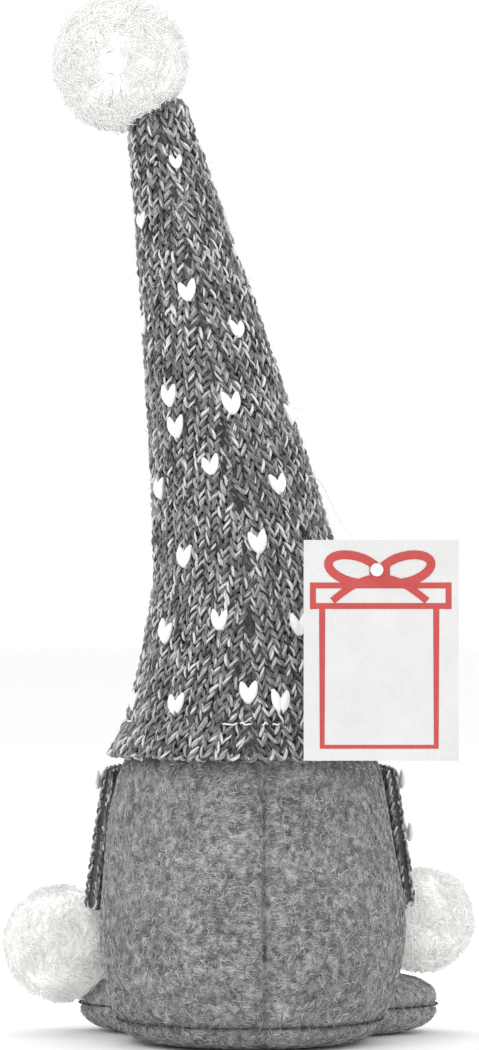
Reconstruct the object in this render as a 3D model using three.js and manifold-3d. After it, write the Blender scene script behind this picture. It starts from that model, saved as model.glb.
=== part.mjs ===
// A stuffed felt gnome with a tall knitted hat, ear flaps, pompoms and a paper gift tag.
// Millimetres, +Z up. The origin is the centre of the flat seat, and the gnome faces +Y.
import * as THREE from "three";
import { mergeVertices } from "three/addons/utils/BufferGeometryUtils.js";
import Module from "manifold-3d";

const wasm = await Module();
wasm.setup();

// Clearances and cloth thicknesses
const gap = 0.3;
const felt = 2;
const knit = 3.5;
const hemFold = 1.5;
const threadRadius = 0.3;

// Body
const seatRadius = 38;
const seamRadius = 46.5;
const seamHeight = 8.5;
const bellyRadius = 52.6;
const bellyHeight = 40;
const chestDrop = 28;
const chestFullness = 0.62;
const headRise = 30;
const pelletHeight = 15;

// Hat
const brimHeight = 98.5;
const brimRadius = 49;
const brimFlare = 8.4;
const flareLength = 15;
const hatHeight = 221;
const hatTaper = 30.7;
const tipRadius = 9.9;
const leanReach = 31.7;
const leanStart = 0.27;
const leanPower = 1.1;
const bendHeight = 235;
const bendBallRatio = 1.2;

// Pompoms
const hatPompomRadius = 23.3;
const hatPompomOut = 13.1;
const hatPompomUp = 17.5;
const leftPompomRadius = 20.6;
const rightPompomRadius = 18.3;
const leftPompomPress = 10;
const rightPompomPress = 12;
const leftPompomDrop = 14;
const rightPompomDrop = 4.7;
const tieInset = 5;
const tieRadius = 1.2;

// Ear flaps
const flapLength = 54;
const flapTopWidth = 42;
const flapEndWidth = 22;
const flapThickness = 6.6;
const flapTilt = 12;
const flapForward = 30;

// Feet
const footLength = 27;
const footWidth = 17;
const footSeamHeight = 10.5;
const footRise = 10.5;
const footReach = 50;
const leftSplay = 45;
const rightSplay = 53;

// Beard and nose
const beardWidth = 60;
const beardBottom = 16;
const furDepth = 8;
const backing = 1.6;
const noseRadius = 11.5;

// Gift tag and its nylon pin
const tagWidth = 52;
const tagHeight = 74;
const tagThickness = 0.5;
const tagX = 43.9;
const tagHoleDrop = 10;
const tagHoleRadius = 1.3;
const pinRadius = 0.35;
const pinHeadRadius = 2.2;
const pinHeadThickness = 0.8;
const pinHeight = 163;
const pinAnchorHeight = 194.6;
const pinAnchorAngle = 20;
const pinBarLength = 8;

const radians = THREE.MathUtils.degToRad;
const vec = (x, y, z) => new THREE.Vector3(x, y, z);
const hatTop = brimHeight + hatHeight;
const headTop = brimHeight + headRise;

// A closed geometry as a solid, turned the right way out.
function solid(geometry) {
  const bare = geometry.clone();
  bare.deleteAttribute("normal");
  bare.deleteAttribute("uv");
  const merged = mergeVertices(bare, 1e-3);
  const corners = Array.from(merged.index.array);
  const kept = [];
  for (let i = 0; i < corners.length; i += 3) {
    const [a, b, c] = corners.slice(i, i + 3);
    if (a !== b && b !== c && a !== c) kept.push(a, b, c);
  }
  const build = (triangles) =>
    new wasm.Manifold(
      new wasm.Mesh({
        numProp: 3,
        vertProperties: merged.attributes.position.array,
        triVerts: new Uint32Array(triangles),
      }),
    );
  const made = build(kept);
  return made.volume() > 0 ? made : build(kept.reverse());
}

function geometryOf(shape) {
  const mesh = shape.getMesh();
  return new THREE.BufferGeometry()
    .setAttribute("position", new THREE.BufferAttribute(mesh.vertProperties, 3))
    .setIndex(new THREE.BufferAttribute(mesh.triVerts, 1));
}

// Moves every vertex of a geometry through a function of its place.
function reshape(geometry, move) {
  const place = geometry.attributes.position;
  for (let i = 0; i < place.count; i++) {
    const p = move(new THREE.Vector3().fromBufferAttribute(place, i));
    place.setXYZ(i, p.x, p.y, p.z);
  }
  return geometry;
}

// The radius of a profile of [radius, height] pairs at one height.
function radiusOn(side, z) {
  const i = side.findIndex(([, height]) => height >= z);
  if (i < 1) return i < 0 ? 0 : side[0][0];
  const [r0, z0] = side[i - 1];
  const [r1, z1] = side[i];
  return r0 + ((r1 - r0) * (z - z0)) / (z1 - z0);
}

// A solid turned about Z from a profile of [radius, height] pairs.
function turned(profile, segments = 26) {
  const points = profile.map(([r, z]) => new THREE.Vector2(Math.max(r, 0), z));
  return new THREE.LatheGeometry(points, segments).rotateX(Math.PI / 2);
}

const ball = (centre, radius, across = 20, up = 12) =>
  solid(
    new THREE.SphereGeometry(radius, across, up).translate(...centre.toArray()),
  );

// A round bar between two points.
function bar(from, to, radius, sides = 10) {
  const along = to.clone().sub(from);
  const turn = new THREE.Quaternion().setFromUnitVectors(
    vec(0, 1, 0),
    along.clone().normalize(),
  );
  const middle = from.clone().add(to).multiplyScalar(0.5);
  return solid(
    new THREE.CylinderGeometry(radius, radius, along.length(), sides)
      .applyQuaternion(turn)
      .translate(...middle.toArray()),
  );
}

const slab = (low, high, reach = 400) =>
  solid(
    new THREE.BoxGeometry(reach, reach, high - low).translate(
      0,
      0,
      (low + high) / 2,
    ),
  );

// The hat's outer radius at a height: a straight taper, a flared brim and a rounded tip.
function hatRadius(z) {
  const t = (z - brimHeight) / hatHeight;
  const crown = brimRadius - brimFlare - hatTaper * t;
  const flare = brimFlare * Math.exp(-(z - brimHeight) / flareLength);
  const end = Math.max(tipRadius, crown + flare);
  const above = Math.max(0, z - hatTop);
  return above < tipRadius ? Math.sqrt(Math.max(0, end ** 2 - above ** 2)) : 0;
}

// How far the hat's middle line stands to one side at a height.
function hatLean(z) {
  const t = Math.min(1, (z - brimHeight) / hatHeight);
  const share = Math.max(0, t - leanStart) / (1 - leanStart);
  return -leanReach * share ** leanPower;
}

const leaning = (geometry) =>
  reshape(geometry, (p) => p.setX(p.x + hatLean(p.z)));
const hemAt = (z) =>
  hemFold * THREE.MathUtils.clamp(1 - (z - brimHeight) / flareLength, 0, 1);
const wallAt = (z) => knit + hemAt(z);

// The heights where the hat's profile has a ring.
const hatRings = Array.from({ length: 15 }, (_, i) => {
  const t = i / 14;
  return brimHeight + hatHeight * t ** 1.25;
});
const tipSteps = [0.25, 0.5, 0.72, 0.88, 0.97];

// The hat's outside, or the same shape let in or out by a distance.
function hatForm(out, from = brimHeight) {
  const sides = hatRings
    .filter((z) => z > from + 1)
    .map((z) => [hatRadius(z) + out, z]);
  const cap = tipSteps.map((s) => {
    const r = (tipRadius + out) * Math.sqrt(1 - s * s);
    return [r, hatTop + (tipRadius + out) * s];
  });
  const first = [hatRadius(from) + out, from];
  return [
    [0, from],
    first,
    ...sides,
    ...cap,
    [0, hatTop + tipRadius + out],
  ];
}

// The body's outer radius at a height, from the seat's seam to the brim.
const neckRadius = brimRadius - knit - hemFold - gap;
const chestHeight = brimHeight - chestDrop;
const chestRadius = neckRadius + chestFullness * (bellyRadius - neckRadius);
const bodyCurve = new THREE.CatmullRomCurve3([
  vec(seamRadius, 0, seamHeight),
  vec(bellyRadius - 0.6, 0, (seamHeight + 2 * bellyHeight) / 3),
  vec(bellyRadius, 0, bellyHeight),
  vec(chestRadius, 0, chestHeight),
  vec(neckRadius, 0, brimHeight),
]);
const bodySide = bodyCurve.getPoints(9).map((p) => [p.x, p.z]);
const hatLining = hatRings.map((z) => [hatRadius(z) - wallAt(z), z]);
const headSide = [0.2, 0.45, 0.7, 0.88, 0.97, 1].map((s) => {
  const z = brimHeight + headRise * s;
  return [(radiusOn(hatLining, z) - gap) * Math.sqrt(1 - s ** 4), z];
});

const wholeSide = [...bodySide, ...headSide];
const bodyRadius = (z) => radiusOn(wholeSide, z);

// A profile moved square to itself, inwards for a positive distance.
function letIn(profile, distance) {
  return profile.map(([r, z], i) => {
    const [r0, z0] = profile[Math.max(0, i - 1)];
    const [r1, z1] = profile[Math.min(profile.length - 1, i + 1)];
    const span = Math.hypot(r1 - r0, z1 - z0);
    const inner = r - (distance * (z1 - z0)) / span;
    return [Math.max(0, inner), z + (distance * (r1 - r0)) / span];
  });
}

const closedTop = (side) => {
  const last = side[side.length - 1];
  return last[0] > 1e-6 ? [...side.slice(0, -1), [0, last[1]]] : side;
};
const seatSide = [0, 0.25, 0.5, 0.75, 1].map((s) => {
  const a = (s * Math.PI) / 2;
  return [
    seatRadius + (seamRadius - seatRadius) * Math.sin(a),
    seamHeight * (1 - Math.cos(a)),
  ];
});
const seamGap = 2 * threadRadius + 2 * gap;

// The whole body as one solid, let out so that what touches it can be cut clear.
function bodyForm(out) {
  const seat = letIn(seatSide, -out);
  const side = closedTop(letIn(wholeSide, -out));
  return solid(turned([[0, -out], ...seat, ...side.slice(1)]));
}

function bodyPanels() {
  const side = wholeSide.map(([r, z], i) =>
    i ? [r, z] : [r, z + seamGap / 2],
  );
  const lining = letIn(side, felt);
  lining[0][1] = side[0][1];
  const cover = [...closedTop(side), ...closedTop(lining).reverse(), side[0]];
  const rim = seatSide.map(([r, z], i) =>
    i === seatSide.length - 1 ? [r, z - seamGap / 2] : [r, z],
  );
  const dish = letIn(rim, felt);
  dish[dish.length - 1][1] = rim[rim.length - 1][1];
  const panel = [[0, 0], ...rim, ...dish.reverse(), [0, felt]];
  return { cover: solid(turned(cover)), panel: solid(turned(panel)) };
}

function pelletBag() {
  const floor = felt + gap;
  const steps = [0, 0.2, 0.4, 0.6, 0.8, 1];
  const edge = steps.map((s) => {
    const a = s * Math.PI;
    const z = floor + (pelletHeight * (1 - Math.cos(a))) / 2;
    return [seatRadius - felt - 3 + 3 * Math.sin(a), z];
  });
  return turned([[0, floor], ...edge, [0, floor + pelletHeight]]);
}

function bodyStuffing() {
  const side = closedTop(letIn(wholeSide, felt + gap));
  const floor = felt + 2 * gap + pelletHeight;
  const above = side.filter(([, z]) => z > floor + 1);
  const atFloor = bodyRadius(floor) - felt - 2 * gap;
  return turned([[0, floor], [atFloor, floor], ...above]);
}

// The seam thread that joins two panels round a ring.
const seamRing = (radius, z) =>
  new THREE.TorusGeometry(radius, threadRadius, 5, 30).translate(0, 0, z);

// The hat bends about a ball at its middle, so that its upper part can tip either way.
const bendCentre = vec(hatLean(bendHeight), 0, bendHeight);
const bendBall = hatRadius(bendHeight) * bendBallRatio;
const below = slab(-10, bendHeight);
const lowerMask = below.add(ball(bendCentre, bendBall, 30, 16));
const upperMask = slab(bendHeight, 500).subtract(
  ball(bendCentre, bendBall + gap, 30, 16),
);

function hatSolids() {
  const outside = solid(leaning(turned(hatForm(0))));
  const opening = hatLining[0][0];
  const hollow = [[0, brimHeight - 1], [opening, brimHeight - 1], ...hatLining];
  hollow.push([tipRadius - knit - 1, hatTop + 1], [0, hatTop + 2]);
  const shell = outside.subtract(solid(leaning(turned(hollow))));
  const filled = hatRings
    .filter((z) => z > headTop + 2)
    .map((z) => [hatRadius(z) - wallAt(z) - gap, z]);
  const base = headTop + gap;
  const first = [hatRadius(base) - wallAt(base) - gap, base];
  const top = hatTop + 1 - gap;
  const fibre = solid(
    leaning(
      turned([[0, base], first, ...filled, [tipRadius - knit - 2, top], [0, top]]),
    ),
  );
  return { shell, fibre };
}

// The pin's middle line, from its head in front of the tag to its bar under the knit.
const tagPlane = -(brimRadius + 2);
const tagTop = pinHeight + tagHoleDrop;
const pinX = tagX - 1.5;
const anchorRadius = hatRadius(pinAnchorHeight);
const anchorTurn = radians(pinAnchorAngle);
const pinAnchor = vec(
  hatLean(pinAnchorHeight) + anchorRadius * Math.cos(anchorTurn),
  -anchorRadius * Math.sin(anchorTurn),
  pinAnchorHeight,
);
const anchorOut = vec(Math.cos(anchorTurn), -Math.sin(anchorTurn), 0);
const barCentre = pinAnchor.clone().addScaledVector(anchorOut, -knit / 2);

function pinSolid(out) {
  const head = vec(pinX, tagPlane - gap, pinHeight);
  const headFront = vec(pinX, tagPlane - gap - pinHeadThickness, pinHeight);
  const line = new THREE.CatmullRomCurve3([
    vec(pinX, tagPlane - gap - pinHeadThickness / 2, pinHeight),
    vec(pinX, tagPlane + 3, pinHeight),
    pinAnchor.clone().lerp(vec(pinX, tagPlane + 5, pinHeight), 0.5),
    pinAnchor.clone().addScaledVector(anchorOut, 3),
    barCentre,
  ]);
  const section = new THREE.Shape();
  section.absarc(0, 0, pinRadius + out, 0, 2 * Math.PI);
  const strand = new THREE.ExtrudeGeometry(section, {
    extrudePath: line,
    steps: 14,
    curveSegments: 2,
  });
  const half = vec(0, 0, pinBarLength / 2);
  const across = bar(
    barCentre.clone().sub(half),
    barCentre.clone().add(half),
    1.6 * pinRadius + out,
    8,
  );
  const button = bar(headFront, head, pinHeadRadius + out, 20);
  return solid(strand).add(across).add(button);
}

function tagCard() {
  const card = new THREE.Shape();
  const left = tagX - tagWidth / 2;
  card.moveTo(left, tagTop - tagHeight);
  card.lineTo(left + tagWidth, tagTop - tagHeight);
  card.lineTo(left + tagWidth, tagTop);
  card.lineTo(left, tagTop);
  const hole = new THREE.Path();
  hole.absarc(pinX, pinHeight, tagHoleRadius, 0, 2 * Math.PI, true);
  card.holes.push(hole);
  const paper = new THREE.ExtrudeGeometry(card, {
    depth: tagThickness,
    bevelEnabled: false,
    curveSegments: 8,
  });
  return paper.rotateX(Math.PI / 2).translate(0, tagPlane + tagThickness, 0);
}

// The yarn pompom on the tip, which has flopped to one side against the hat's shoulder.
const tip = vec(hatLean(hatTop), 0, hatTop);
const topCentre = tip.clone().add(vec(-hatPompomOut, 0, hatPompomUp));

function hatPompom() {
  const toCentre = topCentre.clone().sub(tip).normalize();
  const start = tip.clone().addScaledVector(toCentre, tipRadius + gap);
  const hatRoom = solid(leaning(turned(hatForm(gap))));
  const tie = bar(start, topCentre, tieRadius).subtract(hatRoom);
  const room = bar(tip, topCentre.clone().addScaledVector(toCentre, gap), tieRadius + gap);
  const yarn = ball(topCentre, hatPompomRadius)
    .subtract(hatRoom)
    .subtract(ball(tip, tipRadius + 3 * gap))
    .subtract(room);
  return { yarn, tie };
}

// One ear flap and its pompom, modelled at the hinge with X along the brim and Y outwards.
const flapHingeHeight = brimHeight - gap - flapThickness / 2;
const flapHingeRadius = neckRadius + gap + flapThickness / 2 + 1;

function earFlap() {
  const flap = new THREE.BoxGeometry(1, flapThickness, flapLength, 6, 2, 9);
  return reshape(flap, (p) => {
    const down = 0.5 - p.z / flapLength;
    const width = THREE.MathUtils.lerp(flapTopWidth, flapEndWidth, down);
    const round = Math.sqrt(Math.max(0.04, 1 - Math.max(0, (down - 0.8) / 0.2) ** 2 * 0.8));
    const x = p.x * width * round;
    const edge = Math.abs(p.z) > flapLength / 2 - 1e-6 || Math.abs(p.x) > 0.5 - 1e-6;
    const y = p.y * (edge ? 0.5 : 1) - x ** 2 / (2 * bellyRadius);
    return vec(x, y, p.z - flapLength / 2 + flapThickness / 4);
  });
}

function flapPompom(radius, press, drop) {
  const face = flapThickness / 2 + gap;
  const centre = vec(0, face + radius - press, -flapLength - drop);
  const behind = new THREE.BoxGeometry(100, 100, 100);
  behind.translate(0, face - 50, 50 - flapLength - 2 * gap);
  const contact = Math.sqrt(radius ** 2 - (radius - press) ** 2);
  const start = vec(0, face, Math.max(tieInset, contact - drop) - flapLength);
  const room = bar(start, centre, tieRadius + gap);
  const far = ball(start, tieRadius + 2 * gap, 12, 8);
  const yarn = ball(centre, radius).subtract(solid(behind));
  const end = start.clone().lerp(centre, 0.95);
  const tie = bar(start, end, tieRadius).subtract(solid(behind));
  return { yarn: yarn.subtract(room).subtract(far), tie };
}

// Puts something modelled at the flap's hinge on one side of the brim: side is -1 or 1.
function onSide(shape, side) {
  const geometry = geometryOf(shape);
  const turn = radians(flapForward);
  geometry.rotateX(radians(flapTilt));
  geometry.translate(0, flapHingeRadius, flapHingeHeight);
  geometry.rotateZ(side * (turn - Math.PI / 2));
  return geometry;
}

// A foot's rounded form, grown by a distance, standing out from the front of the seat.
function footForm(side, splay, out) {
  const turn = radians(side * -splay);
  const shape = new THREE.SphereGeometry(1, 20, 12).rotateX(Math.PI / 2);
  shape.scale(footWidth + out, footLength + out, footRise + out);
  shape.rotateZ(turn);
  shape.translate(-footReach * Math.sin(turn), footReach * Math.cos(turn), footSeamHeight);
  return solid(shape);
}

// A foot: two felt panels sewn round the middle, and the stuffing between them.
function footSolids(side, splay) {
  const turn = radians(side * -splay);
  const form = (out) => footForm(side, splay, out).intersect(slab(0.5 - out, 100));
  const clear = bodyForm(gap);
  const shell = form(0).subtract(form(-felt));
  const upper = slab(footSeamHeight + seamGap / 2, 100);
  const sole = slab(-1, footSeamHeight - seamGap / 2);
  const lowered = (shape) => shape.subtract(clear).translate([0, 0, -0.5]);
  const stitch = new THREE.TorusGeometry(1, 0.01, 5, 24);
  const ring = reshape(stitch, (p) => {
    const around = Math.atan2(p.y, p.x);
    const out = (Math.hypot(p.x, p.y) - 1) * 100 * threadRadius - felt / 2;
    const x = Math.cos(around) * (footWidth + out);
    const y = Math.sin(around) * (footLength + out);
    return vec(x, y, p.z * 100 * threadRadius);
  });
  ring.rotateZ(turn);
  ring.translate(-footReach * Math.sin(turn), footReach * Math.cos(turn), footSeamHeight);
  return {
    upper: lowered(shell.intersect(upper)),
    sole: lowered(shell.intersect(sole)),
    stuffing: lowered(form(-felt - gap)),
    seam: lowered(solid(ring)),
  };
}

// A sheet wrapped round the front of the body, from one offset to another.
const beardTop = brimHeight - gap - 0.5;
function wrapped(inner, outer, width, low, high) {
  const sheet = new THREE.BoxGeometry(1, 1, 1, 10, 1, 10);
  return reshape(sheet, (p) => {
    const up = p.z + 0.5;
    const z = low + (high - low) * up;
    const round = Math.sqrt(Math.max(0.02, 1 - (1 - Math.min(1, up / 0.75)) ** 2));
    const thin = 1 - 0.75 * Math.abs(2 * p.x) ** 3;
    const depth = p.y > 0 ? inner + (outer - inner) * thin : inner;
    const angle = (p.x * width * round) / bellyRadius;
    const r = bodyRadius(z) + depth;
    return vec(r * Math.sin(angle), r * Math.cos(angle), z);
  });
}

const noseCentre = vec(0, neckRadius + backing + 2 * gap + furDepth, brimHeight - gap - noseRadius);

function beardSolids() {
  const feet = [footForm(-1, leftSplay, gap), footForm(1, rightSplay, gap)];
  const nose = ball(noseCentre, noseRadius + gap);
  const clear = feet[0].add(feet[1]).add(nose);
  const inner = gap + backing;
  return {
    cloth: solid(wrapped(gap + 0.2, inner, beardWidth - 6, beardBottom + 6, beardTop)).subtract(clear),
    fur: solid(wrapped(inner + gap, inner + gap + furDepth, beardWidth, beardBottom, beardTop)).subtract(clear),
  };
}

const material = (color, roughness, metalness = 0) =>
  new THREE.MeshStandardMaterial({ color, roughness, metalness });
const greyFelt = material(0x8d8d8d, 0.95);
const greyKnit = material(0x808080, 0.95);
const whiteYarn = material(0xf2f0ec, 0.95);
const whiteFur = material(0xefece6, 0.95);
const fibreFill = material(0xf4f4f2, 1);
const pelletCloth = material(0xd8d4c8, 0.9);
const noseFelt = material(0xd9b79a, 0.85);
const darkThread = material(0x333333, 0.8);
const paper = material(0xededed, 0.8);
const nylon = material(0xe6e6e6, 0.35);

const gnome = new THREE.Group();
function add(name, geometry, finish) {
  const mesh = new THREE.Mesh(geometry, finish.clone());
  mesh.name = name;
  gnome.add(mesh);
}
const addSolid = (name, shape, finish) => add(name, geometryOf(shape), finish);

function addBody() {
  const { cover, panel } = bodyPanels();
  addSolid("body_cover", cover, greyFelt);
  addSolid("seat_panel", panel, greyFelt);
  add("seat_seam_thread", seamRing(seamRadius - felt / 2, seamHeight), darkThread);
  addSolid("pellet_bag", solid(pelletBag()), pelletCloth);
  addSolid("body_stuffing", solid(bodyStuffing()), fibreFill);
}

function addFeet() {
  for (const [name, side, splay] of [["left", -1, leftSplay], ["right", 1, rightSplay]]) {
    const foot = footSolids(side, splay);
    addSolid(name + "_foot_upper", foot.upper, greyFelt);
    addSolid(name + "_foot_sole", foot.sole, greyFelt);
    addSolid(name + "_foot_stuffing", foot.stuffing, fibreFill);
    addSolid(name + "_foot_seam_thread", foot.seam, darkThread);
  }
}

function addHat() {
  const { shell, fibre } = hatSolids();
  const pinRoom = pinSolid(gap);
  addSolid("hat_lower_knit", shell.intersect(lowerMask).subtract(pinRoom), greyKnit);
  addSolid("hat_upper_knit", shell.intersect(upperMask), greyKnit);
  addSolid("hat_lower_stuffing", fibre.intersect(lowerMask), fibreFill);
  addSolid("hat_upper_stuffing", fibre.intersect(upperMask), fibreFill);
  const { yarn, tie } = hatPompom();
  addSolid("hat_pompom", yarn, whiteYarn);
  addSolid("hat_pompom_tie", tie, whiteYarn);
}

function addFlaps() {
  const pair = [
    ["left", -1, leftSplay, leftPompomRadius, leftPompomPress, leftPompomDrop],
    ["right", 1, rightSplay, rightPompomRadius, rightPompomPress, rightPompomDrop],
  ];
  for (const [name, side, splay, radius, press, drop] of pair) {
    const { yarn, tie } = flapPompom(radius, press, drop);
    add(name + "_ear_flap", onSide(solid(earFlap()), side), greyKnit);
    const room = footForm(side, splay, gap).add(bodyForm(gap));
    addSolid(name + "_pompom", solid(onSide(yarn, side)).subtract(room), whiteYarn);
    add(name + "_pompom_tie", onSide(tie, side), whiteYarn);
  }
}

function addFace() {
  const { cloth, fur } = beardSolids();
  addSolid("beard_backing", cloth, pelletCloth);
  addSolid("beard_fur", fur, whiteFur);
  addSolid("nose", ball(noseCentre, noseRadius).subtract(bodyForm(gap)), noseFelt);
}

function addTag() {
  add("tag_card", tagCard(), paper);
  addSolid("tag_pin", pinSolid(0), nylon);
}

addBody();
addFeet();
addHat();
addFlaps();
addFace();
addTag();

export default gnome;
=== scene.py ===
"""The looks of a stuffed felt gnome, seen from behind: knitted hat, pompoms, ear flaps and a gift tag."""

import itertools
import math
import bmesh
import bpy
import mathutils
import numpy as np
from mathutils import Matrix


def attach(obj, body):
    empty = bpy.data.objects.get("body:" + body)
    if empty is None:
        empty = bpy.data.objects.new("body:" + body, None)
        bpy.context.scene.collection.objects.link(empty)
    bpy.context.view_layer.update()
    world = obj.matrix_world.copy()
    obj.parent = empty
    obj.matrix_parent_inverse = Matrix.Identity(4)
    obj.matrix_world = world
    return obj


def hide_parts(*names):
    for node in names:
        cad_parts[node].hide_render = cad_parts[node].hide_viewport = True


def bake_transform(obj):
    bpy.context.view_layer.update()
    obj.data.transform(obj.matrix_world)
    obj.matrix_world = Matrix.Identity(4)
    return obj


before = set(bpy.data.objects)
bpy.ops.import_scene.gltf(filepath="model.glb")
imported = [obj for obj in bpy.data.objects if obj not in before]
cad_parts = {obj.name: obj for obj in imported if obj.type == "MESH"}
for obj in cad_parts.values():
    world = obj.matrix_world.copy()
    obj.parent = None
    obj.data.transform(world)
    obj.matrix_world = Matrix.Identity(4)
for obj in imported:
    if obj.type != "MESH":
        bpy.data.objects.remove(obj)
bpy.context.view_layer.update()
rng = np.random.default_rng(7)
scene = bpy.context.scene
MM = 0.001

# The hat's outside, as the CAD has it, in millimetres.
BRIM = 98.5
TALL = 221.0
CROWN = 40.6
TAPER = 30.7
FLARE = 8.4
FLARE_LENGTH = 15.0
LEAN = 31.7
LEAN_START = 0.27
LEAN_POWER = 1.1
TIP = np.array([-31.7, 0.0, 319.5])

# The knit: the pitch of its columns and rows, the half width of its yarn and of one ply, the plies' distance
# from the yarn's middle, how deep the back seam is, and the height of the hem's stitched line.
WALE = 4.5
COURSE = 3.1
YARN = 0.8
PLY = 0.46
PLY_GAP = 0.38
SEAM_SINK = 1.5
HEM_LINE = 111.0
# The radius that the knit rolls under the brim at.
HEM_ROLL = 1.5

# The photo's scale and where its hearts are, in pixels.
PIXEL = 0.3444
PHOTO_X = 250
PHOTO_BASE = 1043
HEARTS = [
    (176, 165), (144, 223), (239, 254), (188, 294), (141, 325), (236, 331), (171, 398),
    (231, 406), (287, 416), (178, 429), (212, 467), (162, 490), (276, 485), (186, 557),
    (257, 543), (168, 632), (220, 620), (297, 624), (134, 702), (178, 702), (248, 690),
    (279, 700),
]

# How far down its flap each heart is, and how far across as a share of the half width there.
FLAP_HEARTS = {-1: [(5, -0.85), (20, -0.1), (38, 0.3)], 1: [(5, 0.85), (24, 0.85), (14, -0.3)]}

# Where each stitch of the pale thread at the back of the hem starts and ends across the photo, in pixels.
HEM_STITCHES = ((223, 237), (240, 251), (262, 267), (272, 279), (128, 133), (330, 341))

# The size of a heart whose strands have their full width.
HEART_FULL = 7.2

# The felt body's two seams: the height of the one round the seat, and how far right the one at the back is.
SEAT_SEAM = 8.5
BACK_SEAM = 5
# The half width of a loose fibre on the felt.
FELT_FIBRE = 0.1

# The feet: how far out and how high their middles are, and how boxy they are, where an oval is 2.
FOOT_REACH = 50
FOOT_HEIGHT = 10.5
FOOT_SQUARE = 2.6

# The ear flaps, in degrees as in the CAD: how far forward of the side they sit and how far they flare.
FLAP_FORWARD = 30
FLAP_TILT = 12
# Their hinge's place, and twice the radius that they curve round at, as in the CAD.
HINGE_RADIUS = 48.3
HINGE_HEIGHT = 94.9
FLAP_CURVE = 105.2
# Their length, and their half width at the brim and at the end. At the end the CAD's is 11.
FLAP_LENGTH = 54
FLAP_TOP = 21
FLAP_END = 12
# How far off a flap's middle its stitches lie on each face.
FLAP_HALF = 2.3

# The top pompom's middle and radius, and how many strands it and each flap's pompom have.
TOP_POMPOM = TIP + np.array([-13.1, 0, 17.5])
TOP_RADIUS = 23.3
TOP_STRANDS = 7500
FLAP_STRANDS = 5500
# For each flap: its side, its pompom's name and radius, how far the flap is pressed into the pompom, and how
# far the pompom's middle hangs below the flap.
FLAPS = ((-1, "left", 20.6, 10, 14), (1, "right", 18.3, 12, 4.7))
# How far out from the hinge a pompom's near side would be, if it weren't pressed.
POMPOM_SEAT = 3.6

# The beard's hairs keep this far from a point in the nose.
NOSE_POINT = (0, 54, 86)
NOSE_ROOM = 10.5

# The tag's print: where its face is, how far each stroke lies in front of the one before, and its thickness.
PRINT_FACE = -50.99
PRINT_STEP = 0.012
PRINT_THICK = 0.06
# Its straight lines, in the photo's pixels with a width in millimetres, and the middle of its bow.
BOX_LINES = [
    ([(320, 607), (320, 742), (431, 742), (431, 607)], 2.1),
    ([(311, 585), (443, 585)], 2.0),
    ([(311, 605), (443, 605)], 2.0),
    ([(311, 582), (311, 608)], 2.0),
    ([(443, 582), (443, 608)], 2.0),
]
BOW_X = 376
BOW_Y = 574

# In metres: how far the camera is, the height of its view there, and the height that the lights aim at. The
# sensor is in millimetres.
CAMERA_AWAY = 1.9
VIEW_HEIGHT = 0.3616
LIGHT_AIM = 0.17
SENSOR = 36

# How many steps the cloth swells for.
CLOTH_STEPS = 20

# Keeps the level part of a direction.
LEVEL = np.array([1, 1, 0])


def lean(z):
    """How far the hat's middle line is from upright at a height; it leans to -X."""
    t = np.clip((z - BRIM) / TALL, 0, 1)
    share = np.maximum(0, t - LEAN_START) / (1 - LEAN_START)
    return -LEAN * share**LEAN_POWER


def hat_radius(z):
    """The hat's outer radius at a height."""
    t = (z - BRIM) / TALL
    return CROWN - TAPER * t + FLARE * np.exp(-(z - BRIM) / FLARE_LENGTH)


def photo(px, py):
    """The (x, z) place of a pixel of the photo."""
    return ((px - PHOTO_X) * PIXEL, (PHOTO_BASE - py) * PIXEL)


def unit(v):
    return v / np.maximum(np.linalg.norm(v, axis=-1, keepdims=True), 1e-12)


# Node helpers


def new_material(name, **values):
    """A material whose shader sockets hold the given even values."""
    mat = bpy.data.materials.new(name)
    mat.use_nodes = True
    shader = mat.node_tree.nodes["Principled BSDF"]
    for key, value in values.items():
        shader.inputs[key.replace("_", " ")].default_value = value
    return mat, mat.node_tree, shader


def node(tree, kind, **values):
    made = tree.nodes.new(kind)
    for key, value in values.items():
        if key in made.inputs:
            made.inputs[key].default_value = value
        else:
            setattr(made, key, value)
    return made


def noise(tree, vector, scale, detail=3.0, stretch=(1, 1, 1), turn=(0, 0, 0)):
    mapping = node(tree, "ShaderNodeMapping")
    mapping.inputs["Scale"].default_value = stretch
    mapping.inputs["Rotation"].default_value = turn
    tree.links.new(vector, mapping.inputs["Vector"])
    made = node(tree, "ShaderNodeTexNoise", Scale=scale, Detail=detail, Roughness=0.6)
    tree.links.new(mapping.outputs["Vector"], made.inputs["Vector"])
    return made.outputs["Fac"]


def ramp(tree, factor, *stops):
    """The colour that a factor has between (position, colour) stops."""
    made = node(tree, "ShaderNodeValToRGB")
    elements = made.color_ramp.elements
    while len(elements) < len(stops):
        elements.new(0.5)
    for element, (at, colour) in zip(elements, stops):
        element.position = at
        element.color = (*colour, 1)
    tree.links.new(factor, made.inputs["Fac"])
    return made.outputs["Color"]


def maths(tree, operation, a, b=0.0):
    """A Math node on two sockets or numbers."""
    made = node(tree, "ShaderNodeMath", operation=operation)
    for socket, value in zip(made.inputs, (a, b)):
        if isinstance(value, (int, float)):
            socket.default_value = value
        else:
            tree.links.new(value, socket)
    return made.outputs[0]


def bump(tree, shader, height, strength, distance):
    made = node(tree, "ShaderNodeBump", Strength=strength, Distance=distance)
    tree.links.new(height, made.inputs["Height"])
    tree.links.new(made.outputs["Normal"], shader.inputs["Normal"])


def place(tree):
    """Where a point is on its object."""
    return node(tree, "ShaderNodeTexCoord").outputs["Object"]


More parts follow.
